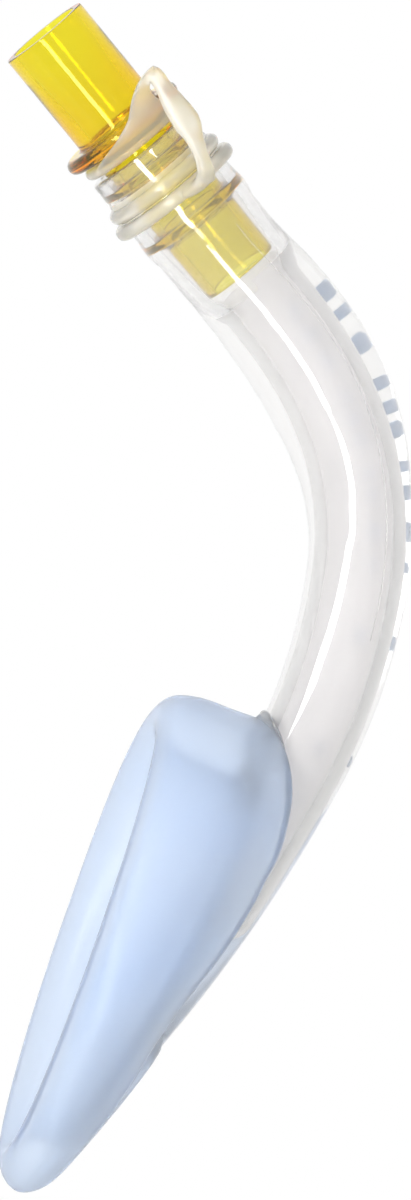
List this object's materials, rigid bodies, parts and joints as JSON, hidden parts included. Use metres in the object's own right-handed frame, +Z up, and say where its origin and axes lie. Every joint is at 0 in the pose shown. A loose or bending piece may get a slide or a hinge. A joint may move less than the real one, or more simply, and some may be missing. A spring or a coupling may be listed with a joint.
{
  "type": "laryngeal mask airway",
  "caption": "Curved silicone airway tube with a hollow mask cuff and a tethered, removable 15 mm breathing connector.",
  "frame": {"origin": "centre of the open end of the connector's 15 mm cone", "axes": "+Z up as the airway hangs from a breathing circuit, +X towards the spine side of the tube, the mid-plane is XZ"},
  "size_m": [0.0678, 0.0452, 0.1975],
  "materials": {
    "amber_polysulfone": "clear moulded amber",
    "milky_silicone": "soft translucent satin",
    "clear_silicone": "clear moulded gloss",
    "blue_silicone": "pale blue translucent satin",
    "blue_ink": "printed ink"
  },
  "bodies": {
    "connector": {"connector": "amber_polysulfone"},
    "tether_eye": {"tether_neck_ring": "milky_silicone"},
    "airway": {"airway_tube": "clear_silicone", "bowl_plate": "blue_silicone", "cuff": "blue_silicone", "cuff_bond": "clear_silicone", "depth_marks": "blue_ink", "tether_tube_ring": "milky_silicone", "tether_strap": "milky_silicone"}
  },
  "joints": [
    {"name": "connector_twist", "type": "hinge", "parent": "connector", "child": "tether_eye", "pos_m": [0, 0, 0], "axis": [0.6428, 0, -0.766], "continuous": true},
    {"name": "airway_pull", "type": "slide", "parent": "tether_eye", "child": "airway", "axis": [0.6428, 0, -0.766], "range_m": [0, 0.027], "deforming": ["tether_strap"]}
  ]
}
